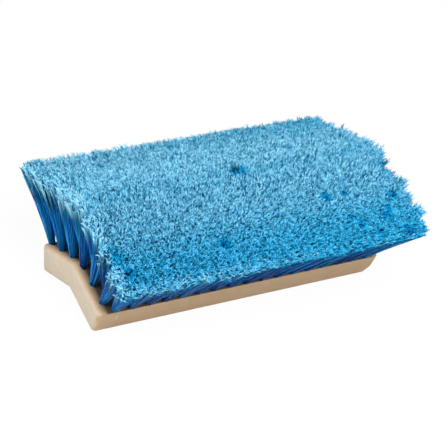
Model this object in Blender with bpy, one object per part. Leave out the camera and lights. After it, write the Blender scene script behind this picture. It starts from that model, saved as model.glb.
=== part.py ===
"""Deck brush head: a bent block with a threaded handle socket and twelve rows of tufts.

The head lies on its back on its two long lower edges, bristles up. X runs along the
block, +Y to its rear and +Z up. The origin is on the floor, under the middle.
Each of the block's two flat sections has its own frame: X along the block, Y away from
the bend line and Z square off the section's top.
"""

import math

import bmesh
import bpy
from mathutils import Matrix, Vector

# Block: two flat sections that meet at a bend, in metres and radians
BLOCK_LENGTH = 0.254
SECTION_WIDTH = 0.048
SECTION_TILT = math.radians(17.0)
BLOCK_THICKNESS = 0.0215
EDGE_ROUND = 0.003
END_ROUND = 0.0045
TOP_EDGE_ROUND = 0.0006
EDGE_SEGMENTS = 3
END_BEVEL_RUN = 0.0075
END_BEVEL_RISE = 0.0095
END_BEVEL_ROUND = 0.0015

# Handle socket: a boss under the middle of the bend, with a coarse trapezoidal thread
SOCKET_FLOOR_CLEARANCE = 0.0015
SOCKET_WALL = 0.0062
SOCKET_ROOF = 0.0048
SOCKET_RIM_ROUND = 0.001
SOCKET_SIDES = 48
THREAD_MAJOR_DIAMETER = 0.0196
THREAD_MINOR_DIAMETER = 0.0156
THREAD_PITCH = 0.00508
THREAD_ROOT_FLAT = 0.0018
THREAD_CREST_FLAT = 0.0017
THREAD_OVERCUT = 0.0004
THREAD_STEPS_PER_TURN = 24

# Rows of tufts: each row is one slice of backing, let into a groove, with its tufts
ROW_PITCH = 0.008
OUTER_ROW_MARGIN = 0.0036
BEND_WALL = 0.0003
TUFT_PITCH = 0.014
END_TUFT_MARGIN = 0.0075
TUFT_ROOT_WIDTH = 0.0048
SLICE_WIDTH = 0.005
SLICE_DEPTH = 0.003
SLICE_END = 0.0018
FIT_GAP = 0.0003

# Bristles: flaring strands that are trimmed level with their section
TRIM_LENGTH = 0.0585
TRIM_UNEVENNESS = 0.0022
STRANDS_PER_TUFT = 2
STRAND_GAP_AT_ROOT = 0.0004
STRAND_GAP_AT_TIP = 0.0008
OUTWARD_SPREAD = 0.022
END_SPREAD = 0.010

BLOCK_COLOUR = (0.56, 0.41, 0.27, 1.0)
BRISTLE_COLOUR = (0.02, 0.20, 0.56, 1.0)
TOOL_COLOUR = (0.8, 0.1, 0.1, 1.0)

ROUNDING_TOLERANCE = 1e-6


def clear_scene():
    """Remove every object that the file opened with."""
    for item in list(bpy.data.objects):
        bpy.data.objects.remove(item, do_unlink=True)


def principled(name, colour, roughness):
    """One non-metal material of a plain colour."""
    material = bpy.data.materials.new(name)
    material.use_nodes = True
    shader = material.node_tree.nodes["Principled BSDF"]
    shader.inputs["Base Color"].default_value = colour
    shader.inputs["Roughness"].default_value = roughness
    shader.inputs["Metallic"].default_value = 0.0
    return material


def object_from(name, bm, *materials):
    """Make an object of a finished bmesh, with all its faces pointing out."""
    bmesh.ops.recalc_face_normals(bm, faces=bm.faces)
    mesh = bpy.data.meshes.new(name)
    bm.to_mesh(mesh)
    bm.free()
    for material in materials:
        mesh.materials.append(material)
    thing = bpy.data.objects.new(name, mesh)
    bpy.context.scene.collection.objects.link(thing)
    return thing


def as_tool(thing):
    """Mark an object as the tool of a Boolean, not a piece of the brush."""
    thing.hide_render = True
    thing.display_type = "WIRE"
    return thing


def add_boolean(target, tool, operation):
    """Join the target to another solid, or cut it with one."""
    modifier = target.modifiers.new(operation.title() + " " + tool.name, "BOOLEAN")
    modifier.operation = operation
    modifier.solver = "EXACT"
    modifier.object = tool


def apex_height():
    """Height of the bend's ridge when the rounded lower edges touch the floor.

    A lower edge is rounded in flat steps, so its lowest point is the corner of those
    steps that lies nearest to straight down.
    """
    steps = [math.pi / 2 * k / EDGE_SEGMENTS for k in range(EDGE_SEGMENTS + 1)]
    drop = EDGE_ROUND * max(math.cos(step - SECTION_TILT) for step in steps)
    across = (SECTION_WIDTH - EDGE_ROUND) * math.sin(SECTION_TILT)
    down = (BLOCK_THICKNESS - EDGE_ROUND) * math.cos(SECTION_TILT)
    return across + down + drop


def section_point(side, across, depth):
    """Y and Z of a section's point, from its distance off the bend line and its depth."""
    y = across * math.cos(SECTION_TILT) - depth * math.sin(SECTION_TILT)
    z = apex_height() - across * math.sin(SECTION_TILT) - depth * math.cos(SECTION_TILT)
    return side * y, z


def bend_point(depth):
    """Y and Z of the middle plane's point that lies this deep in both sections."""
    return 0.0, apex_height() - depth / math.cos(SECTION_TILT)


def section_frame(side):
    """The frame of the rear section (side 1) or the front section (side -1)."""
    turn = 0.0 if side > 0 else math.pi
    return (Matrix.Translation((0.0, 0.0, apex_height())) @ Matrix.Rotation(turn, 4, "Z")
            @ Matrix.Rotation(-SECTION_TILT, 4, "X"))


def block_outline():
    """Named corners of the block's cross-section, with the points where its bevel starts."""
    bevel_start = BLOCK_THICKNESS - END_BEVEL_RISE
    outline = {"ridge": bend_point(0.0), "bend_bevel": bend_point(bevel_start),
               "bend_foot": bend_point(BLOCK_THICKNESS)}
    for side, label in ((1, "rear"), (-1, "front")):
        outline[label + "_top"] = section_point(side, SECTION_WIDTH, 0.0)
        outline[label + "_bevel"] = section_point(side, SECTION_WIDTH, bevel_start)
        outline[label + "_foot"] = section_point(side, SECTION_WIDTH, BLOCK_THICKNESS)
    return outline


def block_blank(material):
    """The bent block with sharp edges, its left end square and its right end bevelled below.

    Each edge holds its share of the ends' full rounding: none at the bends, little along
    the two top edges beside the tufts, some along the lower edges and the bevel.
    """
    bm = bmesh.new()
    left = {}
    right = {}
    for label, (y, z) in block_outline().items():
        if not label.endswith("_bevel"):
            left[label] = bm.verts.new((-BLOCK_LENGTH / 2, y, z))
        run = END_BEVEL_RUN if label.endswith("_foot") else 0.0
        right[label] = bm.verts.new((BLOCK_LENGTH / 2 - run, y, z))

    bm.faces.new([left[label] for label in (
        "rear_foot", "rear_top", "ridge", "front_top", "front_foot", "bend_foot")])
    bm.faces.new([right[label] for label in (
        "rear_top", "rear_bevel", "bend_bevel", "front_bevel", "front_top", "ridge")])
    for label in ("rear", "front"):
        foot, bevel, top = label + "_foot", label + "_bevel", label + "_top"
        bm.faces.new([right[foot], right[bevel], right["bend_bevel"], right["bend_foot"]])
        bm.faces.new([left[foot], left[top], right[top], right[bevel], right[foot]])
        bm.faces.new([left[top], left["ridge"], right["ridge"], right[top]])
        bm.faces.new([left["bend_foot"], left[foot], right[foot], right["bend_foot"]])

    share = bm.edges.layers.float.new("bevel_weight_edge")
    shares = {
        frozenset((left["ridge"], right["ridge"])): 0.0,
        frozenset((left["bend_foot"], right["bend_foot"])): 0.0,
        frozenset((right["bend_bevel"], right["bend_foot"])): 0.0,
    }
    for label in ("rear", "front"):
        foot, bevel, top = label + "_foot", label + "_bevel", label + "_top"
        shares[frozenset((left[top], right[top]))] = TOP_EDGE_ROUND / END_ROUND
        shares[frozenset((left[foot], right[foot]))] = EDGE_ROUND / END_ROUND
        shares[frozenset((right[bevel], right[foot]))] = EDGE_ROUND / END_ROUND
        shares[frozenset((right[bevel], right["bend_bevel"]))] = END_BEVEL_ROUND / END_ROUND
        shares[frozenset((right[foot], right["bend_foot"]))] = END_BEVEL_ROUND / END_ROUND
    for edge in bm.edges:
        edge[share] = shares.get(frozenset(edge.verts), 1.0)

    block = object_from("brush_block", bm, material)
    rounding = block.modifiers.new("Round edges", "BEVEL")
    rounding.limit_method = "WEIGHT"
    rounding.width = END_ROUND
    rounding.segments = EDGE_SEGMENTS
    return block


def turned(name, outline, material):
    """A solid of revolution about Z, from (radius, height) points that end at radius 0."""
    bm = bmesh.new()
    points = [bm.verts.new((radius, 0.0, height)) for radius, height in outline]
    edges = [bm.edges.new(pair) for pair in zip(points, points[1:])]
    bmesh.ops.spin(bm, geom=points + edges, cent=(0, 0, 0), axis=(0, 0, 1),
                   angle=math.tau, steps=SOCKET_SIDES, use_merge=True)
    bmesh.ops.remove_doubles(bm, verts=bm.verts, dist=ROUNDING_TOLERANCE)
    return object_from(name, bm, material)


def thread_tool(start, end, material):
    """The thread's groove as a rib that climbs one pitch a turn, from start to end height."""
    bore_radius = THREAD_MINOR_DIAMETER / 2 - THREAD_OVERCUT
    root_radius = THREAD_MAJOR_DIAMETER / 2
    half_mouth = (THREAD_PITCH - THREAD_CREST_FLAT) / 2
    half_root = THREAD_ROOT_FLAT / 2
    profile = ((bore_radius, -half_mouth), (root_radius, -half_root),
               (root_radius, half_root), (bore_radius, half_mouth))
    steps = round((end - start) / THREAD_PITCH * THREAD_STEPS_PER_TURN)
    bm = bmesh.new()
    rings = []
    for step in range(steps + 1):
        angle = math.tau * step / THREAD_STEPS_PER_TURN
        height = start + THREAD_PITCH * step / THREAD_STEPS_PER_TURN
        rings.append([bm.verts.new((radius * math.cos(angle), radius * math.sin(angle), height + rise))
                      for radius, rise in profile])
    for lower, upper in zip(rings, rings[1:]):
        for corner in range(len(profile)):
            after = (corner + 1) % len(profile)
            bm.faces.new((lower[corner], lower[after], upper[after], upper[corner]))
    bm.faces.new(rings[0])
    bm.faces.new(rings[-1])
    return as_tool(object_from("socket_thread_tool", bm, material))


def add_handle_socket(block, block_material, tool_material):
    """The boss under the bend, its bore with a flared mouth, and the thread in it."""
    rim = SOCKET_FLOOR_CLEARANCE
    boss_radius = THREAD_MAJOR_DIAMETER / 2 + SOCKET_WALL
    boss_top = bend_point(BLOCK_THICKNESS / 2)[1]
    bore_radius = THREAD_MINOR_DIAMETER / 2
    mouth_radius = THREAD_MAJOR_DIAMETER / 2 + THREAD_OVERCUT
    bore_end = bend_point(SLICE_DEPTH + FIT_GAP)[1] - SOCKET_ROOF
    boss = turned("socket_boss_tool", (
        (0.0, rim), (boss_radius - SOCKET_RIM_ROUND, rim), (boss_radius, rim + SOCKET_RIM_ROUND),
        (boss_radius, boss_top), (0.0, boss_top)), block_material)
    bore = turned("socket_bore_tool", (
        (0.0, rim - THREAD_PITCH), (mouth_radius, rim - THREAD_PITCH), (mouth_radius, rim),
        (bore_radius, rim + mouth_radius - bore_radius), (bore_radius, bore_end),
        (0.0, bore_end)), tool_material)
    thread = thread_tool(rim - THREAD_PITCH / 2, bore_end - THREAD_PITCH, tool_material)
    add_boolean(block, as_tool(boss), "UNION")
    add_boolean(block, as_tool(bore), "DIFFERENCE")
    add_boolean(block, thread, "DIFFERENCE")


def row_distances():
    """Distance of each row of a section from the bend line, inner row first.

    The outer row lies a margin inside the section's edge. The inner row's groove leans
    towards the middle plane as it goes down, and keeps a thin wall to it.
    """
    outer = SECTION_WIDTH - OUTER_ROW_MARGIN
    lean = (SLICE_DEPTH + FIT_GAP) * math.tan(SECTION_TILT)
    inner = SLICE_WIDTH / 2 + FIT_GAP + lean + BEND_WALL / math.cos(SECTION_TILT)
    count = int((outer - inner) / ROW_PITCH + ROUNDING_TOLERANCE) + 1
    return [outer - ROW_PITCH * (count - 1 - index) for index in range(count)]


def long_row_count():
    """Tufts in a long row. The rows beside it have one less and stand half a pitch off."""
    return int((BLOCK_LENGTH - 2 * END_TUFT_MARGIN) / TUFT_PITCH + ROUNDING_TOLERANCE) + 1


def row_plan():
    """Side, number from the bend and count of tufts of each row, long and short in turn."""
    plan = []
    for side in (1, -1):
        for index in range(len(row_distances())):
            is_long = index % 2 == (1 if side > 0 else 0)
            plan.append((side, index, long_row_count() - (0 if is_long else 1)))
    return plan


def tip_pitch(count):
    """Spacing of a row's tips, which fill the whole length of the spread brush."""
    return (BLOCK_LENGTH + 2 * END_SPREAD) / count


def tip_band(index):
    """Near and far distance of a row's tips from the bend line, on the trim plane.

    The rows share that plane from the mitre over the bend to the spread outer edge.
    """
    mitre = -TRIM_LENGTH * math.tan(SECTION_TILT)
    width = (SECTION_WIDTH + OUTWARD_SPREAD - mitre) / len(row_distances())
    near = mitre + width * index + STRAND_GAP_AT_TIP / 2
    return near, near + width - STRAND_GAP_AT_TIP


def slice_half_length(count):
    """Half the length of the slice of backing under a row."""
    return (count - 1) / 2 * TUFT_PITCH + TUFT_ROOT_WIDTH / 2 + SLICE_END


def slice_groove_tool(material):
    """The grooves of all the slices, as one set of boxes that are half above the block."""
    bm = bmesh.new()
    for side, index, count in row_plan():
        distance = row_distances()[index]
        size = Matrix.Diagonal((2 * (slice_half_length(count) + FIT_GAP),
                                SLICE_WIDTH + 2 * FIT_GAP, 2 * (SLICE_DEPTH + FIT_GAP), 1.0))
        place = section_frame(side) @ Matrix.Translation((0.0, distance, 0.0))
        bmesh.ops.create_cube(bm, size=1.0, matrix=place @ size)
    return as_tool(object_from("slice_groove_tool", bm, material))


def strand_places(count, missing):
    """Middle of each strand at its foot and at its tip, along the row, and its trim height.

    The height is the trim length less a small wave over the strands, which stands for
    the uneven trim of a real tuft.
    """
    foot_step = (TUFT_ROOT_WIDTH + STRAND_GAP_AT_ROOT) / STRANDS_PER_TUFT
    tip_step = tip_pitch(count) / STRANDS_PER_TUFT
    places = []
    for tuft in range(count):
        if tuft in missing:
            continue
        from_middle = tuft - (count - 1) / 2
        for strand in range(STRANDS_PER_TUFT):
            offset = strand - (STRANDS_PER_TUFT - 1) / 2
            foot = from_middle * TUFT_PITCH + offset * foot_step
            tip = from_middle * tip_pitch(count) + offset * tip_step
            wave = math.sin(2.1 * tuft + 3.7 * strand + count)
            places.append((foot, tip, TRIM_LENGTH - TRIM_UNEVENNESS * (1 + wave) / 2))
    return places


def tuft_row(side, index, count, missing, filament, block_plastic):
    """One row: a slice of backing whose top carries the flaring strands of its tufts.

    A strand's foot spans the slice, and its tip spans the row's band of the trim plane.
    """
    half_width = SLICE_WIDTH / 2
    foot_width = (TUFT_ROOT_WIDTH + STRAND_GAP_AT_ROOT) / STRANDS_PER_TUFT - STRAND_GAP_AT_ROOT
    tip_width = tip_pitch(count) / STRANDS_PER_TUFT - STRAND_GAP_AT_TIP
    distance = row_distances()[index]
    tip_near, tip_far = tip_band(index)
    places = strand_places(count, missing)

    end = slice_half_length(count)
    stations = [-end]
    for foot, _, _ in places:
        stations += [foot - foot_width / 2, foot + foot_width / 2]
    stations.append(end)

    bm = bmesh.new()
    near = [bm.verts.new((x, -half_width, 0.0)) for x in stations]
    far = [bm.verts.new((x, half_width, 0.0)) for x in stations]
    under = [bm.verts.new((x, y, -SLICE_DEPTH)) for x, y in (
        (-end, -half_width), (end, -half_width), (end, half_width), (-end, half_width))]
    bm.faces.new(under)
    bm.faces.new([under[0], under[1]] + near[::-1])
    bm.faces.new([under[2], under[3]] + far)
    bm.faces.new([under[1], under[2], far[-1], near[-1]])
    bm.faces.new([under[3], under[0], near[0], far[0]])
    tops = [bm.faces.new((near[i], near[i + 1], far[i + 1], far[i])) for i in range(len(stations) - 1)]
    for face in bm.faces:
        face.material_index = 1

    tips = bmesh.ops.extrude_discrete_faces(bm, faces=tops[1::2])["faces"]
    for face, (foot, tip, height) in zip(tips, places):
        grown = height / TRIM_LENGTH
        for vert in face.verts:
            full_x = tip + math.copysign(tip_width / 2, vert.co.x - foot)
            full_y = (tip_far if vert.co.y > 0 else tip_near) - distance
            vert.co = vert.co.lerp(Vector((full_x, full_y, TRIM_LENGTH)), grown)
        for edge in face.edges:
            for neighbour in edge.link_faces:
                neighbour.material_index = 0

    label = "rear" if side > 0 else "front"
    row = object_from(f"{label}_row_{index + 1}", bm, filament, block_plastic)
    row.matrix_world = section_frame(side) @ Matrix.Translation((0.0, distance, 0.0))
    return row


def build():
    """Model the whole brush head."""
    clear_scene()
    block_plastic = principled("moulded foam plastic", BLOCK_COLOUR, 0.55)
    filament = principled("flagged plastic filament", BRISTLE_COLOUR, 0.45)
    tool_material = principled("Boolean tool", TOOL_COLOUR, 0.5)

    block = block_blank(block_plastic)
    add_handle_socket(block, block_plastic, tool_material)
    add_boolean(block, slice_groove_tool(tool_material), "DIFFERENCE")

    # The tuft that would stand right over the handle socket is left out
    for side, index, count in row_plan():
        missing = {count // 2} if side > 0 and index == 0 else set()
        tuft_row(side, index, count, missing, filament, block_plastic)


if __name__ == "__main__":
    build()
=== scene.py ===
import math

import bpy
import numpy as np
from bpy.props import EnumProperty, FloatProperty, FloatVectorProperty, IntProperty, PointerProperty
from mathutils import Matrix, Vector


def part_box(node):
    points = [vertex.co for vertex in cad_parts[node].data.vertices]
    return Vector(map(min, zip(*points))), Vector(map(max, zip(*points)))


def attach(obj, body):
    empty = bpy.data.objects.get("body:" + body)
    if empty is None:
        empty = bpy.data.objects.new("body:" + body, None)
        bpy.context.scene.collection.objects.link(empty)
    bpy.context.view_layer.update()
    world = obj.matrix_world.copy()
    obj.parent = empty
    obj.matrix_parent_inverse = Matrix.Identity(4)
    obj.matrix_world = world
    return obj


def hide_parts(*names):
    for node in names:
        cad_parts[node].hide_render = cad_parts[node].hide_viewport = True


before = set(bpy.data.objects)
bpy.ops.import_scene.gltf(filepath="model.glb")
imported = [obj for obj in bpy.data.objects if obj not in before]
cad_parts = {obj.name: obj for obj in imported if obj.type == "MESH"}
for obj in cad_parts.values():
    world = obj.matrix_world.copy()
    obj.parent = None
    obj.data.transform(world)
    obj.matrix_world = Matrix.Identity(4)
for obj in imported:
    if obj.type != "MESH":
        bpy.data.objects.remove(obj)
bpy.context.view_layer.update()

bl_info = {
    "name": "Deck brush head",
    "version": (1, 0, 0),
    "blender": (4, 5, 0),
    "location": "3D View > Sidebar > Deck Brush",
    "description": "Builds the bent block, its tufts of flagged filament and a plain stage",
    "category": "Object",
}

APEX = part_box("brush_block")[1][2]
SIDE_OF = {"REAR": 1, "FRONT": -1}

# The block, as in the frame, in metres and radians
BLOCK_LENGTH = 0.254
SECTION_WIDTH = 0.048
SECTION_TILT = math.radians(17.0)
BLOCK_THICKNESS = 0.0215
EDGE_ROUND = 0.003
END_ROUND = 0.0045
TOP_EDGE_ROUND = 0.0006
END_BEVEL_RUN = 0.0075
END_BEVEL_RISE = 0.0095
END_BEVEL_ROUND = 0.0015
# What a lower corner keeps of its rounding at the very ends
LEAST_ROUND = 0.0002
# How far past a rounded edge a ring of points holds the flat face flat
FLAT_HOLD = 0.0006
# A pale scuff near the front face's left end, and a brown patch of painted shade on its corner
# with the end: middle, half size, colour, strength
SCUFF_AND_SHADE_MARKS = (
    ((-0.1102, -0.0437, APEX - 0.0205), (0.0007, 0.003, 0.0034), "#f6ead6", 0.7),
    ((-0.1265, -0.0437, APEX - 0.0195), (0.0030, 0.003, 0.0040), "#b08a5c", 0.5),
)
# Edges that turn by more than this stay sharp
SHARP_TURN = math.radians(32)
# Fewest faces of a block whose Booleans have all worked
LEAST_FACES = 500

# The handle socket under the bend
SOCKET_RIM = 0.0015
SOCKET_SIDES = 96
BOSS_RADIUS = 0.016
BOSS_ROUND = 0.001
BORE_END = APEX - 0.00824
THREAD_MAJOR_RADIUS = 0.0098
THREAD_MINOR_RADIUS = 0.0078
THREAD_PITCH = 0.00508
THREAD_ROOT_FLAT = 0.0018
THREAD_CREST_FLAT = 0.0017
THREAD_STEPS = 48
# How far the thread's cutter reaches into the bore, and the socket's mouth past the thread
THREAD_OVERLAP = 0.0004

# The rows of tufts, numbered from the bend
ROWS = 6
ROW_PITCH = 0.008
OUTER_ROW = 0.0444
LONG_ROW = 18
TUFT_PITCH = 0.014
BRISTLE_LENGTH = 0.271
TRIM_LENGTH = 0.0585
MITRE = -TRIM_LENGTH * math.tan(SECTION_TILT)
OUTWARD_REACH = {1: 0.022, -1: 0.025}
GOLDEN_ANGLE = math.pi * (3 - math.sqrt(5))
HOLE_SIDES = 16
# A hole's chamfer, and the height of its cutter above the section's top
HOLE_CHAMFER = 0.0003
CUTTER_HEIGHT = 0.001
# Added to the trimmed length for what uneven ends take off
TRIM_ALLOWANCE = 0.0015
# Squircle powers of a tuft's outline at its tips, inside the carpet and on the carpet's ends
INNER_OUTLINE = 4.0
FREE_OUTLINE = 2.2
# A tuft's tips fill this much of its share, so that neighbours mingle
MINGLE = 1.12
# How much further the last tuft of each row reaches at the right end, from the bend out
RIGHT_END_REACH = {1: (0.002, 0.003, 0.0, 0.006, 0.006, 0.006),
                   -1: (0.006, 0.003, 0.005, 0.003, 0.003, -0.002)}
# Tufts on both sides of the one left out lean to it: place, lean and, in tufts, how it fades
LEANS = ((-1, 0.0076, 2.0), (1, 0.001, 0.6))

# How far whole tufts, the free sides of end tufts and single tips stray, how much tufts differ
# in height, and how many times as much the end tufts do
TUFT_STRAY = 0.0003
END_TUFT_STRAY = 0.0018
TIP_STRAY = 0.0003
TUFT_RISE = 0.0002
END_TUFT_RISE = 5
# How much higher the palest filaments stand, and what waves add to height and tone
PALE_RISE = 0.0006
WAVE_RISE = 0.0001
WAVE_TONE = 0.06
WAVES = 16
# Seeds of the rows, of the waves and of the edges' wear
ROW_SEED = 7
WAVE_SEED = 5
WEAR_SEED = 40

# The worn band along the carpet's edges: its breadth, its wear, and what share of that wear the
# right end and the long edges have
EDGE_BAND = 0.01
EDGE_WEAR = 0.010
RIGHT_END_WEAR = 0.3
LONG_EDGE_WEAR = 0.35
# The long edges' share of fraying, and how far fraying lowers the splits
LONG_EDGE_FRAY = 0.6
SPLIT_DROP = 0.12
# Fraying: its level in the middle, the run to the right along which it falls by 1, its limits
FRAY_MIDDLE = 0.35
FRAY_RUN = 0.2
FRAY_LIMITS = (0.1, 0.7)
# The share of locks that are bleached where fraying is full, on the rear and the front section
BLEACHED_LOCKS = {1: 0.6, -1: 0.8}
# How much paler the carpet's top is made on the ridge, the ridge's breadth, and how much paler over the rear
# section
RIDGE_PALING = 1.1
RIDGE_BREADTH = 0.035
REAR_PALING = 0.9

# A filament's rings: shares of its height and thickness, and moves up the map at a frayed edge
RING_HEIGHTS = (-0.07, 0.3, 0.6, 0.84, 0.95)
RING_WIDTHS = (0.85, 0.95, 1.0, 1.0, 0.4)
RING_SHIFTS = (0.0, 0.0, 0.08, 0.08, 0.05)
# Ranges for a filament's bend, and for a lock's spread, its tone, its start below the split, its
# bend and its stop below the top
BEND_RANGE = (0.2, 1.3)
SPREAD_RANGE = (0.5, 1.3)
LOCK_TONES = (-0.25, 0.65)
LOCK_STARTS = (0.02, 0.14)
LOCK_BENDS = (0.955, 0.975)
LOCK_STOPS = (0.0, 0.015)
# A lock's moves up the map at a frayed edge and where the top is made paler, and down in the partings as
# painted shade
LOCK_EDGE_SHIFTS = (0.42, 0.06, 0.0)
LOCK_PALING_SHIFTS = (0.0, 0.045, 0.03)
PARTING_SHADE_SHIFT = 0.2

# The map's columns of tone: their number, where a strand starts in one and what it fills of it
TONES = 64
COLUMN_START = 0.15
COLUMN_WIDTH = 0.7
# What a strand's end faces span on the map
CAP_RUN = 0.006
# The tone above which a filament's end is bleached
BLEACHED = 0.97

# Places where the tips part and show the dark between the tufts, and where they are painted darker
# as painted shade: side, along, off the bend, reach. The first lies beside the tuft that is left out
PARTINGS = (
    (-1, 0.0026, -0.0188, 0.0064),
    (-1, 0.1370, 0.0050, 0.0090),
    (-1, 0.1440, 0.0050, 0.0140),
    (-1, 0.1210, 0.0327, 0.0036),
    (-1, 0.1100, 0.0440, 0.0024),
    (-1, 0.1050, 0.0500, 0.0036),
    (-1, 0.0905, 0.0630, 0.0026),
    (-1, 0.1160, 0.0676, 0.0042),
    (-1, 0.0783, 0.0537, 0.0030),
    (-1, 0.0732, 0.0448, 0.0022),
    (-1, 0.0799, 0.0224, 0.0026),
    (-1, 0.0631, 0.0220, 0.0038),
    (-1, -0.0417, 0.0461, 0.0036),
    (-1, -0.1245, 0.0548, 0.0036),
    (-1, -0.1400, 0.0385, 0.0120),
    (1, -0.1400, 0.0189, 0.0090),
    (1, -0.1400, 0.0378, 0.0120),
    (1, -0.1420, 0.0780, 0.0200),
    (-1, 0.1400, 0.0760, 0.0100),
)
# A parting fades out at this many times its reach, and pushes tips off and lowers them this much
PARTING_FADE = 1.8
PARTING_PUSH = 0.35
PARTING_DENT = 0.002

# The floor's half width, and how far it lies under the block
FLOOR_HALF = 4.0
FLOOR_GAP = 0.0001
# The soft lamps: name, size, share of the lamp power, and place
LAMPS = (
    ("key", 0.9, 1.5, (-2.3, 0.5, 0.7)),
    ("fill", 1.6, 0.06, (0.2, -2.3, 0.2)),
    ("top", 1.6, 2.6, (-0.1, -1.2, 1.9)),
)
LAMP_TARGET = (0, 0, 0.05)
# The camera, from matching the block's corners in the photograph: its turn, its lens in mm on a
# sensor of 36 mm, its place, and its last small shift to the right and up
AZIMUTH = math.radians(38.612)
ELEVATION = math.radians(33.209)
ROLL = math.radians(12.631)
LENS = 139.74
SENSOR = 36.0
CAMERA_PLACE = (-0.692164, -0.869754, 0.737510 + APEX)
CAMERA_SHIFT = (0.0004, 0.001)


def linear(text):
    """The linear colour of an sRGB hex value such as #c8a882."""
    srgb = np.array([int(text[i:i + 2], 16) / 255 for i in (1, 3, 5)])
    low = srgb / 12.92
    high = ((srgb + 0.055) / 1.055) ** 2.4
    return tuple(np.where(srgb <= 0.04045, low, high).tolist())


def colour_setting(name, text, description):
    """A colour that a user may change, from its sRGB hex value."""
    return FloatVectorProperty(name=name, description=description, subtype="COLOR", size=3,
                               min=0.0, max=1.0, default=linear(text))


class BlockSettings(bpy.types.PropertyGroup):
    edge_steps: IntProperty(name="Edge steps", description="Steps round each rounded edge",
                            default=8, min=3, max=16)
    hole_diameter: FloatProperty(name="Hole diameter", description="Drilled hole that holds a tuft",
                                 default=0.005, min=0.004, max=0.007, unit="LENGTH")
    hole_depth: FloatProperty(name="Hole depth", description="Depth of a tuft's hole",
                              default=0.008, min=0.004, max=0.012, unit="LENGTH")
    side_colour: colour_setting("Side colour", "#d4b48d", "The warm tan of the long faces")
    end_colour: colour_setting("End colour", "#c0b29d", "The paler skin of the two ends")


class TuftSettings(bpy.types.PropertyGroup):
    filaments: IntProperty(name="Filaments", description="Filaments in a tuft",
                           default=110, min=20, max=150)
    locks: IntProperty(name="Locks", description="Locks of flags that each filament splits into",
                       default=3, min=1, max=8)
    lock_flags: IntProperty(name="Flags in a lock", description="Fine ends that lie side by side in a lock",
                            default=3, min=1, max=8)
    root_radius: FloatProperty(name="Root radius", description="Radius of a tuft where it leaves its hole",
                               default=0.0021, unit="LENGTH")
    filament_width: FloatProperty(name="Filament width", description="Thickness of a filament",
                                  default=0.0005, unit="LENGTH")
    flag_width: FloatProperty(name="Flag width", description="Thickness of a split end",
                              default=0.00042, unit="LENGTH")
    flag_spread: FloatProperty(name="Flag spread", description="How far the split ends stand apart",
                               default=0.0014, unit="LENGTH")
    split: FloatProperty(name="Split", description="Share of the length at which filaments split",
                         default=0.78, min=0.5, max=0.95, subtype="FACTOR")
    tip_bend: FloatProperty(name="Tip bend", description="How far a filament's frayed end bends over",
                            default=0.0006, unit="LENGTH")
    edge_curl: FloatProperty(name="Edge curl", description="How far frayed ends curl out at the two ends",
                             default=0.0012, unit="LENGTH")
    flare: FloatProperty(name="Flare", description="Power of the height by which a tuft widens",
                         default=0.74, min=0.5, max=1.5)
    clump_size: FloatProperty(name="Clump size", description="Breadth of the waves in height and tone",
                              default=0.0045, unit="LENGTH")
    unevenness: FloatProperty(name="Unevenness", description="Spread of the filaments' lengths",
                              default=0.0004, unit="LENGTH")
    # The deep colour is painted shade, for the dark low in the tufts
    deep_shade_colour: colour_setting("Deep colour", "#0640d0", "Filament low in the tuft")
    body_colour: colour_setting("Body colour", "#149eff", "Filament along its middle")
    worn_colour: colour_setting("Worn colour", "#04a4f4", "Filament just below its frayed end")
    tip_colour: colour_setting("Tip colour", "#0eccfc", "Frayed ends of pale filaments")
    frayed_colour: colour_setting("Frayed colour", "#c0ecfa", "Frayed ends of the palest filaments")


class StageSettings(bpy.types.PropertyGroup):
    floor_colour: colour_setting("Floor colour", "#c0c0c0", "The plain floor")
    world_level: FloatProperty(name="World level", description="Strength of the even light all round",
                               default=0.08, min=0.0, max=2.0)
    lamp_power: FloatProperty(name="Lamp power", description="Power that each lamp takes its share of",
                              default=30.0, min=0.0, max=200.0, unit="POWER")


class DeckBrushSettings(bpy.types.PropertyGroup):
    block: PointerProperty(type=BlockSettings)
    tufts: PointerProperty(type=TuftSettings)
    stage: PointerProperty(type=StageSettings)


def section_place(side, across, height, along):
    """World points from section coordinates.

    along runs along the block, across runs down the section from the bend line and height
    stands square off the section's top. side is 1 for the rear section and -1 for the front.
    """
    y = side * (across * math.cos(SECTION_TILT) + height * math.sin(SECTION_TILT))
    z = APEX - across * math.sin(SECTION_TILT) + height * math.cos(SECTION_TILT)
    along, y, z = np.broadcast_arrays(along, y, z)
    return np.stack([along, y, z], axis=-1)


def set_inputs(tree, node, sockets):
    """Give a node's inputs, by name or number, a value, an output or a node's first output."""
    for name, value in dict(sockets).items():
        if isinstance(value, bpy.types.Node):
            value = value.outputs[0]
        if isinstance(value, bpy.types.NodeSocket):
            tree.links.new(value, node.inputs[name])
        else:
            node.inputs[name].default_value = value


def add_node(tree, kind, sockets=(), **settings):
    """Add a shader node, its settings and its inputs. kind is its type without ShaderNode."""
    node = tree.nodes.new("ShaderNode" + kind)
    for name, value in settings.items():
        setattr(node, name, value)
    set_inputs(tree, node, sockets)
    return node


def set_ramp(node, stops):
    """Give a colour ramp its (position, colour) stops."""
    elements = node.color_ramp.elements
    while len(elements) < len(stops):
        elements.new(1.0)
    for element, (position, colour) in zip(elements, stops):
        element.position = position
        element.color = (*colour, 1.0)


def new_material(name):
    """A material with nodes, its tree and its shader."""
    material = bpy.data.materials.new(name)
    material.use_nodes = True
    tree = material.node_tree
    return material, tree, tree.nodes["Principled BSDF"]


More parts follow.
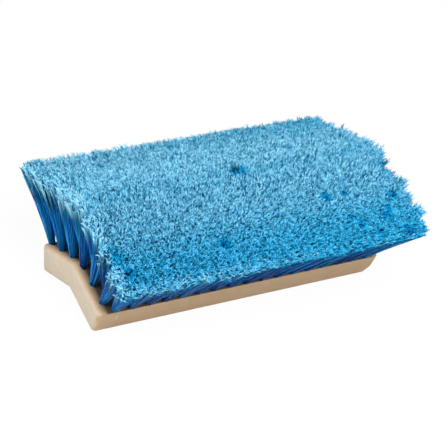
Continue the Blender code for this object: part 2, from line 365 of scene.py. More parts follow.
def structural_foam(settings):
    """Moulded structural foam polyolefin: a matte skin with flow streaks and a fine pebble.

    The skin gives the eye a soft satin tan, mottled over some 10 mm and drawn out along the
    block by the flow of the mould. The two ends are a paler, greyer tan.
    """
    material, tree, shader = new_material("moulded structural foam")
    place = add_node(tree, "TexCoord").outputs["Object"]
    # Mottling of 11 mm, and streaks 1.6 mm wide and eight times as long
    mottle = add_node(tree, "TexNoise", {"Vector": place, "Scale": 90.0, "Detail": 3.0, "Roughness": 0.55})
    drawn = add_node(tree, "Mapping", {"Vector": place, "Scale": (0.12, 1.0, 1.0)})
    streak = add_node(tree, "TexNoise", {"Vector": drawn, "Scale": 620.0, "Detail": 2.0})
    parts = add_node(tree, "SeparateXYZ", {"Vector": place})
    out = add_node(tree, "Math", {0: parts.outputs["X"]}, operation="ABSOLUTE")
    # The long faces' tan turns to the ends' paler, greyer tan over their last 2.5 mm
    end = add_node(tree, "MapRange", {"Value": out, "From Min": 0.1245, "From Max": 0.1268},
                   interpolation_type="SMOOTHSTEP")
    skin = add_node(tree, "Mix", {0: end, 6: (*settings.side_colour, 1.0), 7: (*settings.end_colour, 1.0)},
                    data_type="RGBA")
    # The top, within half a millimetre, is painted dark between the tufts, up to 6 mm from the
    # ends: painted shade for the tufts' shadow on it. The absolute place folds both sections into
    # one, whose height is a dot product
    folded = add_node(tree, "VectorMath", {0: place}, operation="ABSOLUTE")
    upright = (0.0, math.sin(SECTION_TILT), math.cos(SECTION_TILT))
    over = add_node(tree, "VectorMath", {0: folded, 1: upright}, operation="DOT_PRODUCT")
    top = APEX * math.cos(SECTION_TILT)
    on_top = add_node(tree, "MapRange", {"Value": over.outputs["Value"], "From Min": top - 0.0006,
                                         "From Max": top - 0.0001, "To Max": 0.8})
    inside = add_node(tree, "MapRange", {"Value": out, "From Min": 0.1185, "From Max": 0.1215,
                                         "To Min": 1.0, "To Max": 0.0})
    painted_shade = add_node(tree, "Math", {0: on_top, 1: inside}, operation="MULTIPLY")
    skin = add_node(tree, "Mix", {0: painted_shade, 6: skin.outputs[2], 7: (*linear("#2c2620"), 1.0)},
                    data_type="RGBA")
    # Each mark is an ellipsoid that is full to 0.4 of its half size and fades out at the whole
    # The scuff is a mark on the skin; the brown patch is painted shade on the rounded corner
    for centre, size, tint, most in SCUFF_AND_SHADE_MARKS:
        off = add_node(tree, "VectorMath", {0: place, 1: centre}, operation="SUBTRACT")
        off = add_node(tree, "VectorMath", {0: off, 1: size}, operation="DIVIDE")
        off = add_node(tree, "VectorMath", {0: off}, operation="LENGTH")
        near = add_node(tree, "MapRange", {"Value": off.outputs["Value"], "From Min": 0.4,
                                           "From Max": 1.0, "To Min": most, "To Max": 0.0})
        skin = add_node(tree, "Mix", {0: near, 6: skin.outputs[2], 7: (*linear(tint), 1.0)},
                        data_type="RGBA")
    both = add_node(tree, "Math", {0: mottle, 1: streak}, operation="ADD")
    level = add_node(tree, "MapRange", {"Value": both, "From Min": 0.7, "From Max": 1.3,
                                        "To Min": 0.93, "To Max": 1.06})
    colour = add_node(tree, "VectorMath", {0: skin.outputs[2], "Scale": level}, operation="SCALE")
    # A pebble of 0.8 mm, drawn coarser than the real grain so that it shows
    pebble = add_node(tree, "TexNoise", {"Vector": place, "Scale": 1250.0, "Detail": 2.0})
    bump = add_node(tree, "Bump", {"Height": pebble, "Strength": 0.35, "Distance": 0.00008})
    rough = add_node(tree, "MapRange", {"Value": mottle, "From Min": 0.3, "From Max": 0.7,
                                        "To Min": 0.5, "To Max": 0.62})
    set_inputs(tree, shader, {"Base Color": colour, "Normal": bump, "Roughness": rough, "IOR": 1.5})
    return material


def flagged_filament(settings):
    """Extruded polyester filament with flagged ends: glossy blue that frays to pale, dull tips.

    The map's V runs from a filament's root to its tip and its U holds the filament's tone, in
    steps that each fill a narrow column.
    """
    material, tree, shader = new_material("flagged polyester filament")
    run = add_node(tree, "UVMap", uv_map="filament")
    parts = add_node(tree, "SeparateXYZ", {"Vector": run})
    up = parts.outputs["Y"]
    tone = add_node(tree, "Math", {0: parts.outputs["X"], 1: 1 / TONES}, operation="SNAP")
    deep_shade = np.array(settings.deep_shade_colour)
    body = np.array(settings.body_colour)
    worn = np.array(settings.worn_colour)
    tip = np.array(settings.tip_colour)
    pale_tip = np.array(settings.frayed_colour)
    # Low in the tufts both ramps run to the deep colour: painted shade, strongest on the dark filaments
    dark = add_node(tree, "ValToRGB", {"Fac": up})
    set_ramp(dark, ((0.0, deep_shade * 0.3), (0.45, deep_shade * 0.3 + body * 0.06), (0.7, deep_shade * 0.1 + body * 0.4),
                    (0.84, worn * 0.7), (0.96, worn * 0.28), (1.0, worn * 0.2 + tip * 0.1)))
    pale = add_node(tree, "ValToRGB", {"Fac": up})
    set_ramp(pale, ((0.0, deep_shade * 0.5 + body * 0.5), (0.2, body), (0.66, body), (0.82, worn),
                    (0.94, worn * 0.4 + tip * 0.6), (0.98, tip), (1.0, tip * 0.75 + pale_tip * 0.25)))
    colour = add_node(tree, "Mix", {0: tone, 6: dark, 7: pale}, data_type="RGBA")
    # The palest filaments are bleached white where they fray
    palest = add_node(tree, "MapRange", {"Value": tone, "From Min": 0.5, "To Max": 0.65})
    frayed = add_node(tree, "MapRange", {"Value": up, "From Min": 0.97, "From Max": 1.03, "To Max": palest})
    colour = add_node(tree, "Mix", {0: frayed, 6: colour.outputs[2], 7: (*pale_tip, 1.0)}, data_type="RGBA")
    # Bleached locks are pale over all their split length
    bleached = add_node(tree, "Math", {0: tone, 1: BLEACHED}, operation="GREATER_THAN")
    upper = add_node(tree, "MapRange", {"Value": up, "From Min": 0.75, "From Max": 0.9, "To Max": 0.85})
    share = add_node(tree, "Math", {0: bleached, 1: upper}, operation="MULTIPLY")
    colour = add_node(tree, "Mix", {0: share, 6: colour.outputs[2], 7: (*(tip * 0.4 + pale_tip * 0.6), 1.0)},
                      data_type="RGBA")
    # Up a filament it grows dull, its frayed ends trap most of their own shine, and light no
    # longer passes from filament to filament
    for name, start, stop, low, high in (("Roughness", 0.7, 0.9, 0.34, 0.75),
                                         ("Specular IOR Level", 0.6, 0.85, 0.18, 0.1),
                                         ("Subsurface Weight", 0.6, 0.8, 0.7, 0.0)):
        level = add_node(tree, "MapRange", {"Value": up, "From Min": start, "From Max": stop,
                                            "To Min": low, "To Max": high})
        set_inputs(tree, shader, {name: level})
    set_inputs(tree, shader, {"Base Color": colour.outputs[2], "IOR": 1.57, "Subsurface Scale": 0.0015,
                              "Subsurface Radius": (0.05, 0.35, 1.0)})
    return material


def mesh_piece(name, points, corners, starts, material, maps=()):
    """An object of numpy points and faces. corners lists each face's points in turn."""
    mesh = bpy.data.meshes.new(name)
    for items, label, values, kind in ((mesh.vertices, "co", points, np.float32),
                                       (mesh.loops, "vertex_index", corners, np.int32),
                                       (mesh.polygons, "loop_start", starts, np.int32)):
        items.add(len(values))
        items.foreach_set(label, np.asarray(values, dtype=kind).ravel())
    mesh.update(calc_edges=True)
    for label, places in maps:
        layer = mesh.uv_layers.new(name=label, do_init=False)
        layer.uv.foreach_set("vector", np.asarray(places, dtype=np.float32).ravel())
    if mesh.validate():
        raise RuntimeError(name + " has faulty faces")
    mesh.materials.append(material)
    piece = bpy.data.objects.new(name, mesh)
    bpy.context.scene.collection.objects.link(piece)
    return piece


def closed_tubes(name, grids, material):
    """A piece of closed tubes from grids of rings: ring by ring along a tube, point by point round it.

    Faces join each ring to the next, and one face closes each end. The rings run anticlockwise
    seen from the end that they run to.
    """
    grids = grids.reshape(-1, *grids.shape[-3:])
    index = np.arange(grids.size // 3).reshape(grids.shape[:3])
    after = np.roll(index, -1, axis=2)
    quads = np.stack([index[:, :-1], after[:, :-1], after[:, 1:], index[:, 1:]], axis=-1).reshape(-1)
    caps = np.concatenate([index[:, 0, ::-1].ravel(), index[:, -1].ravel()])
    starts = np.concatenate([np.arange(0, len(quads), 4),
                             len(quads) + np.arange(0, len(caps), index.shape[2])])
    return mesh_piece(name, grids.reshape(-1, 3), np.concatenate([quads, caps]), starts, material)


def end_insets(steps):
    """Distances from the block's ends at which it has rings, and the right end's bevel.

    arc has the distances along a rounded end, its radius times 1 less the cosine of even turns.
    run and rise follow the bevel under the right end, a straight slope with an arc at each end.
    """
    turn = np.linspace(0.0, math.pi / 2, steps + 1)
    arc = END_ROUND * (1 - np.cos(turn))
    slope = math.atan2(END_BEVEL_RUN, END_BEVEL_RISE)
    first = END_BEVEL_ROUND * math.tan(slope / 2)
    last = END_BEVEL_ROUND * math.tan((math.pi / 2 - slope) / 2)
    low = np.linspace(0.0, slope, steps + 1)
    high = np.linspace(slope, math.pi / 2, steps + 1)
    run = np.concatenate([
        END_BEVEL_ROUND * (1 - np.cos(low)),
        END_BEVEL_RUN + last - END_BEVEL_ROUND * np.cos(high),
    ])
    rise = np.concatenate([
        END_BEVEL_RISE + first - END_BEVEL_ROUND * np.sin(low),
        END_BEVEL_ROUND * (1 - np.sin(high)),
    ])
    return arc, run, rise


def rounded(radius, distance):
    """How far a face draws in at this distance from the end of its rounded edge.

    That is the radius less the root of the radius squared less what is left of it squared.
    """
    left = np.clip(radius - distance, 0.0, radius)
    return radius - np.sqrt(radius ** 2 - left ** 2)


def block_rings(steps):
    """The block as its bent cross-section carried along X, as a grid of rings.

    Each ring is the outline of two flat sections that meet at the bend, with a small arc
    at each top edge and a full arc at each lower edge. Near the ends the faces draw in by
    the insets of their rounded edges, and below the right end by those of its bevel.
    """
    arc, run, rise = end_insets(steps)
    left = np.unique(np.round(np.concatenate([arc, [END_ROUND + FLAT_HOLD]]), 7))
    right = np.unique(np.round(np.concatenate([arc, run, [run[-1] + FLAT_HOLD]]), 7))
    distance = np.concatenate([left, right[::-1]])[:, None]
    is_right = np.arange(len(left) + len(right))[:, None] >= len(left)
    x = np.where(is_right, BLOCK_LENGTH / 2 - distance, distance - BLOCK_LENGTH / 2)
    inset = rounded(END_ROUND, distance)
    bevelled = np.interp(distance.ravel(), run, rise).reshape(-1, 1)
    under = np.where(is_right, bevelled, inset)
    # The corner at the side keeps what its end arc has left of it
    lower = np.maximum(EDGE_ROUND - inset, LEAST_ROUND)
    turn = np.linspace(0.0, math.pi / 2, steps + 1)[None, :]
    edge = SECTION_WIDTH - inset
    foot = BLOCK_THICKNESS - under
    across = np.concatenate([
        edge - TOP_EDGE_ROUND - FLAT_HOLD,
        edge - TOP_EDGE_ROUND + TOP_EDGE_ROUND * np.sin(turn),
        edge,
        edge,
        edge - lower + lower * np.cos(turn),
        edge - lower - FLAT_HOLD,
    ], axis=1)
    depth = np.concatenate([
        inset,
        inset + TOP_EDGE_ROUND - TOP_EDGE_ROUND * np.cos(turn),
        inset + TOP_EDGE_ROUND + FLAT_HOLD,
        foot - lower - FLAT_HOLD,
        foot - lower + lower * np.sin(turn),
        foot,
    ], axis=1)
    rear = section_place(1, across, -depth, x)
    front = section_place(-1, across, -depth, x)[:, ::-1]
    ridge = np.stack([x, 0 * x, APEX - inset / math.cos(SECTION_TILT)], axis=-1)
    bend = np.stack([x, 0 * x, APEX - foot / math.cos(SECTION_TILT)], axis=-1)
    rings = np.concatenate([ridge, rear, bend, front], axis=1)
    return rings[:, ::-1]


def turned_rings(outline):
    """A turned shape as a grid: (radius, height) points carried round the Z axis."""
    radius, height = np.array(outline).T[:, :, None]
    angle = np.arange(SOCKET_SIDES) / SOCKET_SIDES * math.tau
    grid = (radius * np.cos(angle), radius * np.sin(angle), height)
    return np.stack(np.broadcast_arrays(*grid), axis=-1)


def thread_rings(start, end):
    """The thread's groove as a four-sided profile carried up a helix of the thread's pitch."""
    mouth = (THREAD_PITCH - THREAD_CREST_FLAT) / 2
    root = THREAD_ROOT_FLAT / 2
    inner = THREAD_MINOR_RADIUS - THREAD_OVERLAP
    radius = np.array([inner, THREAD_MAJOR_RADIUS, THREAD_MAJOR_RADIUS, inner])
    rise = np.array([mouth, root, -root, -mouth])
    turns = np.arange(round((end - start) / THREAD_PITCH * THREAD_STEPS) + 1)[:, None] / THREAD_STEPS
    angle = turns * math.tau
    grid = (radius * np.cos(angle), radius * np.sin(angle), start + turns * THREAD_PITCH + rise)
    return np.stack(np.broadcast_arrays(*grid), axis=-1)


def tuft_places(side, index):
    """Distance along the block of a row's tufts, in tuft pitches from the middle."""
    # On the front section the odd rows are the long ones, and on the rear the even
    is_long = index % 2 == (side > 0)
    count = LONG_ROW if is_long else LONG_ROW - 1
    places = np.arange(count) - (count - 1) / 2
    # The tuft right over the handle socket is left out
    return places[places != 0] if side > 0 and index == 0 else places


def row_distance(index):
    """How far a row's holes lie from the bend line."""
    return OUTER_ROW - ROW_PITCH * (ROWS - 1 - index)


def hole_tools(radius, depth, material):
    """All the tufts' holes as turned plugs, each with a small chamfer at its mouth.

    The chamfer widens at 45 degrees to a third more than its depth, clear of the section's top.
    """
    wide = radius + HOLE_CHAMFER * 4 / 3
    outline = np.array([(radius, -depth), (radius, -HOLE_CHAMFER), (wide, HOLE_CHAMFER / 3),
                        (wide, CUTTER_HEIGHT)])
    angle = np.arange(HOLE_SIDES) / HOLE_SIDES * math.tau
    grids = []
    for side in (1, -1):
        for index in range(ROWS):
            middle = tuft_places(side, index)[:, None, None] * TUFT_PITCH
            along = middle + side * outline[:, :1] * np.cos(angle)
            across = row_distance(index) + outline[:, :1] * np.sin(angle) + 0 * along
            height = outline[:, 1:] + 0 * along
            grids.append(section_place(side, across, height, along))
    return closed_tubes("tuft_hole_tool", np.concatenate(grids), material)


def with_booleans(target, tools):
    """Apply (operation, tool) pairs to a piece in order, then take the tools away."""
    for operation, tool in tools:
        cut = target.modifiers.new(tool.name, "BOOLEAN")
        cut.operation = operation
        cut.solver = "EXACT"
        cut.object = tool
    bpy.context.view_layer.update()
    done = bpy.data.meshes.new_from_object(target.evaluated_get(bpy.context.evaluated_depsgraph_get()))
    target.modifiers.clear()
    old = target.data
    target.data = done
    done.name = target.name
    bpy.data.meshes.remove(old)
    for _, tool in tools:
        bpy.data.meshes.remove(tool.data)


class DECK_BRUSH_OT_block(bpy.types.Operator):
    """Build the bent block with its handle socket and the holes of its tufts"""

    bl_idname = "deck_brush.block"
    bl_label = "Block"

    def execute(self, context):
        settings = context.scene.deck_brush.block
        material = structural_foam(settings)
        block = closed_tubes("foam_block", block_rings(settings.edge_steps), material)
        mid = APEX - BLOCK_THICKNESS / 2
        mouth = THREAD_MAJOR_RADIUS + THREAD_OVERLAP
        soft = BOSS_ROUND * 0.3
        boss = closed_tubes("boss_tool", turned_rings((
            (BOSS_RADIUS - BOSS_ROUND, SOCKET_RIM), (BOSS_RADIUS - soft, SOCKET_RIM + soft),
            (BOSS_RADIUS, SOCKET_RIM + BOSS_ROUND), (BOSS_RADIUS, mid))), material)
        bore = closed_tubes("bore_tool", turned_rings((
            (mouth, SOCKET_RIM - THREAD_PITCH), (mouth, SOCKET_RIM),
            (THREAD_MINOR_RADIUS, SOCKET_RIM + mouth - THREAD_MINOR_RADIUS),
            (THREAD_MINOR_RADIUS, BORE_END))), material)
        thread = closed_tubes("thread_tool", thread_rings(
            SOCKET_RIM - THREAD_PITCH / 2, BORE_END - THREAD_PITCH), material)
        holes = hole_tools(settings.hole_diameter / 2, settings.hole_depth, material)
        with_booleans(block, (("UNION", boss), ("DIFFERENCE", bore), ("DIFFERENCE", thread),
                              ("DIFFERENCE", holes)))
        block.data.shade_smooth()
        block.data.set_sharp_from_angle(angle=SHARP_TURN)
        if len(block.data.polygons) < LEAST_FACES:
            raise RuntimeError("the block lost its faces in a Boolean")
        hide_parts("brush_block")
        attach(block, "root")
        return {"FINISHED"}


def squircle(angle, power):
    """Distance from the middle to the edge of a square with rounded corners, at an angle.

    That is the sum of the cosine and the sine to a power, to the power of minus 1 over it.
    """
    return (np.abs(np.cos(angle)) ** power + np.abs(np.sin(angle)) ** power) ** (-1 / power)


def parted(side, tips, height):
    """Tips moved a little away from the partings, heights lowered there, and each tip's share.

    The share is 1 in a parting's middle and falls to 0 where it fades out, as the square of
    what is left of the way.
    """
    inside = np.zeros_like(height)
    for where, along, across, reach in PARTINGS:
        if where != side:
            continue
        off = tips - np.array([along, across])[:, None, None]
        far = np.hypot(*off) + 1e-6
        near = np.clip(1 - far / (reach * PARTING_FADE), 0.0, 1.0) ** 2
        tips = tips + off / far * near * reach * PARTING_PUSH
        inside = np.maximum(inside, near)
    return tips, height - PARTING_DENT * inside, inside


def ripples(places, size, random):
    """Gentle random waves over the carpet: plane waves of about one size, summed to a spread of 1."""
    angle = random.uniform(0, math.tau, WAVES)
    pace = math.tau / (size * random.uniform(0.7, 1.4, WAVES))
    turn = places[0][..., None] * np.cos(angle) * pace + places[1][..., None] * np.sin(angle) * pace
    return np.sin(turn + random.uniform(0, math.tau, WAVES)).sum(axis=-1) / math.sqrt(WAVES / 2)


def three_sided(middles, ahead, radii, turn):
    """Rings of three points round middles, square to the ways ahead.

    A point lies off its middle by the radius times the cosine of its angle in one direction
    square to the way ahead, and times the sine in the direction square to both.
    """
    ahead = ahead / np.linalg.norm(ahead, axis=-1, keepdims=True)
    aside = np.cross(ahead, (1.0, 0.0, 0.0))
    aside /= np.linalg.norm(aside, axis=-1, keepdims=True)
    beside = np.cross(ahead, aside)
    angle = (turn[:, None] + np.arange(3) / 3 * math.tau)[:, None, :, None]
    around = np.cos(angle) * aside[:, :, None] + np.sin(angle) * beside[:, :, None]
    return middles[:, :, None] + radii[..., None, None] * around


def strands(paths, radii, turn, tones, runs):
    """Three-sided strands round many paths at once, as points, faces and map places.

    Ring k of a strand lies across its path's direction there, at its radius. The map's U runs
    round the strand inside its tone's column, and V is the share of the length.
    """
    number, rings = paths.shape[:2]
    grid = three_sided(paths, np.gradient(paths, axis=1), radii, turn)
    base = (np.arange(number) * rings * 3)[:, None, None]
    ring = np.arange(rings - 1)[:, None] * 3
    j = np.arange(3)
    after = (j + 1) % 3
    quads = np.stack([ring + j, ring + after, ring + 3 + after, ring + 3 + j], axis=-1).reshape(-1, 4)
    quads = (base + quads).reshape(-1)
    left = ((tones + COLUMN_START) / TONES)[:, None, None]
    wide = COLUMN_WIDTH / TONES
    u = left + wide * np.array([0, 1, 1, 0]) / 3 + wide * j[:, None] / 3
    u = np.broadcast_to(u[:, None], (number, rings - 1, 3, 4))
    v = np.stack([runs[:, :-1], runs[:, :-1], runs[:, 1:], runs[:, 1:]], axis=-1)
    v = np.broadcast_to(v[:, :, None], (number, rings - 1, 3, 4))
    foot = (base[:, 0] + j[::-1]).reshape(-1)
    head = (base[:, 0] + rings * 3 - 3 + j).reshape(-1)
    across = left[:, 0] + wide * np.array([0.0, 0.5, 1.0])
    cap = CAP_RUN * np.array([0.0, 1.0, 0.0])
    foot_map = np.stack([across, runs[:, :1] + cap], axis=-1)
    head_map = np.stack([across, runs[:, -1:] - cap], axis=-1)
    triangles = np.concatenate([foot, head])
    starts = np.concatenate([np.arange(0, len(quads), 4), len(quads) + np.arange(0, len(triangles), 3)])
    places = [np.stack([u, v], axis=-1), foot_map, head_map]
    places = np.concatenate([part.reshape(-1, 2) for part in places])
    return grid.reshape(-1, 3), np.concatenate([quads, triangles]), starts, places


def spindles(paths, radius, turn, tones, runs):
    """Split ends as slim spindles: a point, a three-sided ring at the bend and a point.

    The map's places are laid out as those of the strands are.
    """
    number = len(paths)
    ahead = paths[:, 2:] - paths[:, :1]
    ring = three_sided(paths[:, 1:2], ahead, radius[:, None], turn)[:, 0]
    points = np.concatenate([paths[:, :1], ring, paths[:, 2:]], axis=1)
    j = np.arange(3)
    after = (j + 1) % 3
    low = np.stack([0 * j, 1 + after, 1 + j], axis=-1)
    high = np.stack([1 + j, 1 + after, 0 * j + 4], axis=-1)
    faces = np.concatenate([low, high])
    corners = ((np.arange(number) * 5)[:, None, None] + faces).reshape(-1)
    left = ((tones + COLUMN_START) / TONES)[:, None, None]
    step = COLUMN_WIDTH / TONES / 3
    u_low = left + step * (j[:, None] + np.array([0.5, 1.0, 0.0]))
    u_high = left + step * (j[:, None] + np.array([0.0, 1.0, 0.5]))
    v_low = np.broadcast_to(runs[:, None, [0, 1, 1]], (number, 3, 3))
    v_high = np.broadcast_to(runs[:, None, [1, 1, 2]], (number, 3, 3))
    places = np.stack([np.concatenate([u_low, u_high], axis=1), np.concatenate([v_low, v_high], axis=1)],
                      axis=-1)
    return points.reshape(-1, 3), corners, np.arange(0, len(corners), 3), places.reshape(-1, 2)


def tone_step(tone):
    """The column of the map that holds a tone of 0 to 1."""
    return (np.clip(tone, 0.0, 0.999) * TONES).astype(int)


def tuft_row(side, index, settings, material):
    """One row of tufts of flagged filaments, worked out for all its filaments at once.

    A tuft's filaments fill its hole as a sunflower's seeds do. Each goes to the same place in
    the tuft's share of the trim plane, a square with rounded corners, and on the way its
    distance from the root grows as a power of its height. Near the top it splits into fine
    ends that stand apart round it. Tips rise and fall in gentle waves, stray a little with
    their tuft and give way to the partings.
    """
    random = np.random.default_rng(100 * (side + 1) + index + ROW_SEED)
    places = tuft_places(side, index)[:, None]
    tip_pitch = BRISTLE_LENGTH / (2 * places.max() + 1)
    outer_edge = SECTION_WIDTH + OUTWARD_REACH[side]
    tip_band = (outer_edge - MITRE) / ROWS
    share_of_tuft = np.array([tip_pitch, tip_band])[:, None, None] / 2
    tufts = len(places)
    seed = np.arange(settings.filaments)[None] + 0.5
    angle = seed * GOLDEN_ANGLE + random.uniform(0, math.tau, (tufts, 1))
    around = np.stack([np.cos(angle), np.sin(angle)])
    reach = np.sqrt(seed / settings.filaments)

    # Middles and offsets of the filaments, along and across the section, at root and tip
    root = np.stack([places * TUFT_PITCH, row_distance(index) + 0 * places])
    root_off = settings.root_radius * reach * around
    tip = np.stack([places * tip_pitch, MITRE + tip_band * (index + 0.5) + 0 * places])
    at_end = np.abs(places) > places.max() - 0.5
    tip = tip + random.normal(0, TUFT_STRAY, tip.shape)
    if side > 0 and index == 0:
        left, right = (lean * np.exp(-((places - place) / fade) ** 2) for place, lean, fade in LEANS)
        tip[0] += left * (places < 0) - right
    # The tufts at the two ends have a rounder outline on their free side, with notches between
    # them, and stand out unevenly
    free = at_end & (np.cos(angle) * places > 0)
    power = np.where(free, FREE_OUTLINE, INNER_OUTLINE)
    tip_off = reach * squircle(angle, power) * MINGLE * share_of_tuft * around
    further = random.normal(0, END_TUFT_STRAY, (tufts, 1)) + RIGHT_END_REACH[side][index] * (places > 0)
    tip_off[0] += free * reach * np.cos(angle) * further
    tip_off = tip_off + random.normal(0, TIP_STRAY, tip_off.shape)
    tone = random.uniform(0, 1, (tufts, settings.filaments))
    # The rear section is twice as uneven as the front
    uneven = settings.unevenness * (2 if side > 0 else 1)
    height = TRIM_LENGTH + TRIM_ALLOWANCE + random.normal(0, uneven, tone.shape)
    tuft_rise = random.normal(0, TUFT_RISE, (tufts, 1)) * np.where(at_end, END_TUFT_RISE, 1)
    height = height + tuft_rise + PALE_RISE * (tone - 0.5)
    wave = ripples(tip + tip_off, settings.clump_size, np.random.default_rng(side + WAVE_SEED))
    height = height + WAVE_RISE * wave
    tone = tone + WAVE_TONE * wave
    # Each tip's share of a parting also paints it darker there, as painted shade
    tips, height, parting_shade = parted(side, tip + tip_off, height)
    tip_off = tips - tip

    # How near each tip is to the carpet's ends and to its outer edge, from 0 to 1
    inside = np.stack([BRISTLE_LENGTH / 2 - np.abs(tips[0]), outer_edge - tips[1]])
    at_ends, at_outer = np.clip(1 - inside / EDGE_BAND, 0, 1)
    near_edge = np.maximum(at_ends, LONG_EDGE_FRAY * at_outer)
    # The filaments at the edges, most of all the left one, are worn down by up to a sixth
    worn_down = np.random.default_rng(index + WEAR_SEED + side).uniform(0, 1, height.shape)
    wear = np.maximum(at_ends * np.where(tips[0] < 0, 1.0, RIGHT_END_WEAR), LONG_EDGE_WEAR * at_outer)
    height = height - EDGE_WEAR * wear * worn_down ** 1.5
    # Above their splits the tufts at the two ends curl out
    curl = np.stack([at_ends * settings.edge_curl * np.sign(tips[0]), 0 * tips[0]])
    tip_off = tip_off - curl
    # The edges fray most at the end that the photograph shows, where pale filaments are paler and
    # dark ones darker. Those in a parting are painted darker, painted shade for the dark between the tufts
    edge = near_edge * np.clip(FRAY_MIDDLE - tips[0] / FRAY_RUN, *FRAY_LIMITS)
    tone = tone + (1.4 * tone - 0.4) * edge - 0.5 * parting_shade
    split = (settings.split - SPLIT_DROP * near_edge)[..., None]
    heading = random.uniform(0, math.tau, tone.shape)
    way = np.stack([np.cos(heading), np.sin(heading)])
    bend = settings.tip_bend * random.uniform(*BEND_RANGE, tone.shape) * way + curl

    def along_filament(share):
        """Places at these shares of each filament's height.

        The way from root to tip grows as the share, the offset from the tuft's middle as its
        power flare, and the bend as the power 1.5 of what lies above the split.
        """
        widen = share ** settings.flare
        bent = np.clip((share - split) / (1 - split), 0, None) ** 1.5
        return (root[..., None] + (tip - root)[..., None] * share + root_off[..., None]
                + (tip_off - root_off)[..., None] * widen + bend[..., None] * bent)

    share = np.array(RING_HEIGHTS) + 0 * split
    above = np.clip(share, 0, 1)
    x, s = along_filament(above)
    rings = len(RING_HEIGHTS)
    path = section_place(side, s, share * height[..., None], x).reshape(-1, rings, 3)
    radii = np.array(RING_WIDTHS) * settings.filament_width / 2
    radii = np.broadcast_to(radii, (len(path), rings))
    # Below the tips the tones differ more, and the end tufts are painted paler, a painted highlight for the
    # light that they catch
    body_tone = tone_step(0.5 * at_end + 2.4 * (tone - 0.5) + 0.3)
    runs = above + np.array(RING_SHIFTS) * edge[..., None]
    bodies = strands(path, radii, random.uniform(0, math.tau, len(path)), body_tone.ravel(),
                     runs.reshape(-1, rings))

    # Each filament splits into a few locks that lie much the same way, each of a few flags
    shape = (*tone.shape, settings.locks)
    sweep = heading[..., None] + np.arange(settings.locks) * GOLDEN_ANGLE + random.normal(0, 0.5, shape)
    way = np.stack([np.cos(sweep), np.sin(sweep)]) * settings.flag_spread
    way = way * random.uniform(*SPREAD_RANGE, shape) * (1 + 0.9 * near_edge[..., None])
    lock_tone = tone[..., None] * 0.7 + random.uniform(*LOCK_TONES, shape)
    # Locks in a parting are painted darker too, as painted shade
    lock_tone = lock_tone + (0.4 * edge - 0.55 * parting_shade)[..., None]
    start = split - random.uniform(*LOCK_STARTS, shape) * (1 + 0.6 * near_edge[..., None])
    bend_at = random.uniform(*LOCK_BENDS, shape)
    stop = 1 - random.uniform(*LOCK_STOPS, shape)
    shape = (*shape, settings.lock_flags)
    stray = random.normal(0, settings.flag_width * 0.7, (2, *shape))
    paths = []
    for station, grow in ((start, 0.0), (bend_at, 0.3), (stop, 1.0)):
        place = (along_filament(station) + way * grow)[..., None] + stray * (0.3 + grow)
        high = (station * height[..., None])[..., None] + np.zeros(shape)
        paths.append(section_place(side, place[1], high, place[0]))
    paths = np.stack(paths, axis=-2).reshape(-1, 3, 3)
    flag_tone = np.clip(lock_tone[..., None] + random.normal(0, 0.15, shape), 0, BLEACHED - 0.01)
    # At the edges some locks are bleached
    bleached = random.uniform(0, 1, lock_tone.shape) < edge[..., None] * BLEACHED_LOCKS[side]
    flag_tone = tone_step(np.where(bleached[..., None], 1.0, flag_tone)).ravel()
    # At the carpet's edges the fraying reaches lower, so the map's places are moved up there
    runs = np.stack([start, bend_at, stop], axis=-1)
    runs = runs + np.array(LOCK_EDGE_SHIFTS) * edge[..., None, None]
    # The ends are made a little paler on the ridge and over the rear section, most at its left
    worn = np.exp(-(tips[1] / RIDGE_BREADTH) ** 2) * RIDGE_PALING
    worn = worn + (REAR_PALING - tips[0] / FRAY_RUN) * (side > 0)
    runs = runs + np.array(LOCK_PALING_SHIFTS) * worn[..., None, None]
    # In the partings less frayed lengths show, of a deeper blue: painted shade
    runs = runs - PARTING_SHADE_SHIFT * (parting_shade * (1 - near_edge))[..., None, None]
    runs = np.broadcast_to(runs[..., None, :], (*shape, 3))
    # At frayed edges the flags cling together
    radius = settings.flag_width / 2 * (1 + 0.4 * edge[..., None, None]) + np.zeros(shape)
    ends = spindles(paths, radius.ravel(), random.uniform(0, math.tau, len(paths)), flag_tone,
                    runs.reshape(-1, 3))

    points = np.concatenate([bodies[0], ends[0]])
    corners = np.concatenate([bodies[1], ends[1] + len(bodies[0])])
    starts = np.concatenate([bodies[2], ends[2] + len(bodies[1])])
    places = np.concatenate([bodies[3], ends[3]])
    label = "rear" if side > 0 else "front"
    row = mesh_piece(f"{label}_tufts_{index + 1}", points, corners, starts, material,
                     (("filament", places), ("OFBake", places)))
    layers = row.data.uv_layers
    layers.active = layers["filament"]
    layers["filament"].active_render = True
    row.data.shade_smooth()
    return row


class DECK_BRUSH_OT_tufts(bpy.types.Operator):
    """Build the six rows of tufts of one section, each in place of its solid"""

    bl_idname = "deck_brush.tufts"
    bl_label = "Rows of tufts"

    section: EnumProperty(name="Section", description="The section whose rows are built",
                          items=(("FRONT", "Front", "The section on -Y"),
                                 ("REAR", "Rear", "The section on +Y")))

    def execute(self, context):
        settings = context.scene.deck_brush.tufts
        material = bpy.data.materials.get("flagged polyester filament") or flagged_filament(settings)
        side = SIDE_OF[self.section]
        for index in range(ROWS):
            row = tuft_row(side, index, settings, material)
            if not row.data.polygons:
                raise RuntimeError(row.name + " is empty")
            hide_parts(f"{self.section.lower()}_row_{index + 1}")
            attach(row, "root")
        return {"FINISHED"}


def soft_lamp(name, size, power, place):
    """A square area lamp that faces the brush."""
    lamp = bpy.data.lights.new(name, "AREA")
    lamp.size = size
    lamp.energy = power
    thing = bpy.data.objects.new(name, lamp)
    bpy.context.scene.collection.objects.link(thing)
    thing.location = place
    facing = Vector(LAMP_TARGET) - Vector(place)
    thing.rotation_euler = facing.to_track_quat("-Z", "Y").to_euler()


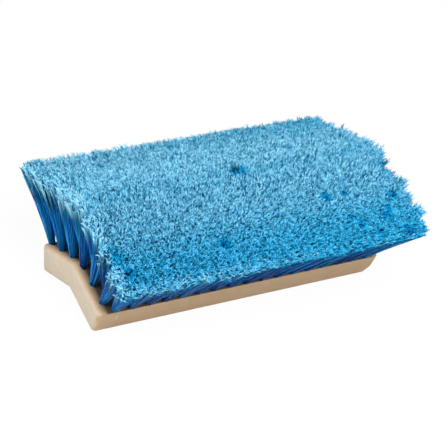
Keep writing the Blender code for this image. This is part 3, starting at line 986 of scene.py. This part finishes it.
class DECK_BRUSH_OT_stage(bpy.types.Operator):
    """Set up the floor, the soft light and the camera"""

    bl_idname = "deck_brush.stage"
    bl_label = "Stage"

    def execute(self, context):
        settings = context.scene.deck_brush.stage
        scene = context.scene
        side = np.linspace(-FLOOR_HALF, FLOOR_HALF, 3)
        x, y = np.meshgrid(side, side, indexing="ij")
        points = np.stack([x, y, 0 * x - FLOOR_GAP], axis=-1).reshape(-1, 3)
        i = np.arange(9).reshape(3, 3)
        corners = np.stack([i[:-1, :-1], i[1:, :-1], i[1:, 1:], i[:-1, 1:]], axis=-1).reshape(-1)
        # Studio paper: matt, and to the camera mostly a plain glow, so that only its shadow shows
        material, tree, shader = new_material("white studio paper")
        set_inputs(tree, shader, {"Base Color": (*settings.floor_colour, 1.0), "Roughness": 0.9})
        path = add_node(tree, "LightPath")
        share = add_node(tree, "Math", {0: path.outputs["Is Camera Ray"], 1: 0.93}, operation="MULTIPLY")
        glow = add_node(tree, "Emission", {"Color": (1, 1, 1, 1), "Strength": 1.03})
        mix = add_node(tree, "MixShader", {0: share, 1: shader, 2: glow})
        set_inputs(tree, tree.nodes["Material Output"], {"Surface": mix})
        floor = mesh_piece("floor", points, corners, np.arange(0, len(corners), 4), material)

        # The world lights the brush faintly, and the camera sees it white
        world = bpy.data.worlds.new("even light")
        world.use_nodes = True
        sky = world.node_tree
        seen = add_node(sky, "LightPath")
        level = add_node(sky, "MapRange", {"Value": seen.outputs["Is Camera Ray"],
                                           "To Min": settings.world_level, "To Max": 1.0})
        set_inputs(sky, sky.nodes["Background"], {"Color": (1, 1, 1, 1), "Strength": level})
        scene.world = world

        for name, size, share, place in LAMPS:
            soft_lamp(name, size, settings.lamp_power * share, place)

        # The camera looks down its own -Z, along the view's azimuth and elevation, and is rolled
        back_way = Vector((-math.sin(AZIMUTH) * math.cos(ELEVATION),
                           -math.cos(AZIMUTH) * math.cos(ELEVATION), math.sin(ELEVATION)))
        right = (-back_way).cross(Vector((0, 0, 1))).normalized()
        up = right.cross(-back_way)
        turned_right = right * math.cos(ROLL) + up * math.sin(ROLL)
        turned_up = up * math.cos(ROLL) - right * math.sin(ROLL)
        lens = bpy.data.cameras.new("camera")
        lens.sensor_width = SENSOR
        lens.lens = LENS
        lens.clip_start = 0.05
        lens.clip_end = 30.0
        camera = bpy.data.objects.new("camera", lens)
        scene.collection.objects.link(camera)
        matrix = Matrix((turned_right, turned_up, back_way)).transposed().to_4x4()
        matrix.translation = Vector(CAMERA_PLACE) + right * CAMERA_SHIFT[0] + up * CAMERA_SHIFT[1]
        camera.matrix_world = matrix
        scene.camera = camera
        scene.view_settings.view_transform = "Standard"
        return {"FINISHED"}


class DECK_BRUSH_PT_parts(bpy.types.Panel):
    """The brush's pieces, each with its button and its settings"""

    bl_idname = "DECK_BRUSH_PT_parts"
    bl_label = "Deck brush head"
    bl_space_type = "VIEW_3D"
    bl_region_type = "UI"
    bl_category = "Deck Brush"

    def draw(self, context):
        settings = context.scene.deck_brush
        for group, buttons in ((settings.block, (("deck_brush.block", None),)),
                               (settings.tufts, (("deck_brush.tufts", "FRONT"),
                                                 ("deck_brush.tufts", "REAR"))),
                               (settings.stage, (("deck_brush.stage", None),))):
            box = self.layout.box()
            for name in group.bl_rna.properties.keys():
                if name not in ("rna_type", "name"):
                    box.prop(group, name)
            for idname, section in buttons:
                button = box.operator(idname)
                if section:
                    button.section = section


CLASSES = (BlockSettings, TuftSettings, StageSettings, DeckBrushSettings, DECK_BRUSH_OT_block,
           DECK_BRUSH_OT_tufts, DECK_BRUSH_OT_stage, DECK_BRUSH_PT_parts)


def register():
    for item in CLASSES:
        bpy.utils.register_class(item)
    bpy.types.Scene.deck_brush = PointerProperty(type=DeckBrushSettings)


def unregister():
    del bpy.types.Scene.deck_brush
    for item in reversed(CLASSES):
        bpy.utils.unregister_class(item)


def main():
    """Build everything in order."""
    register()
    bpy.ops.deck_brush.stage()
    bpy.ops.deck_brush.block()
    bpy.ops.deck_brush.tufts(section="FRONT")
    bpy.ops.deck_brush.tufts(section="REAR")


if __name__ == "__main__":
    main()
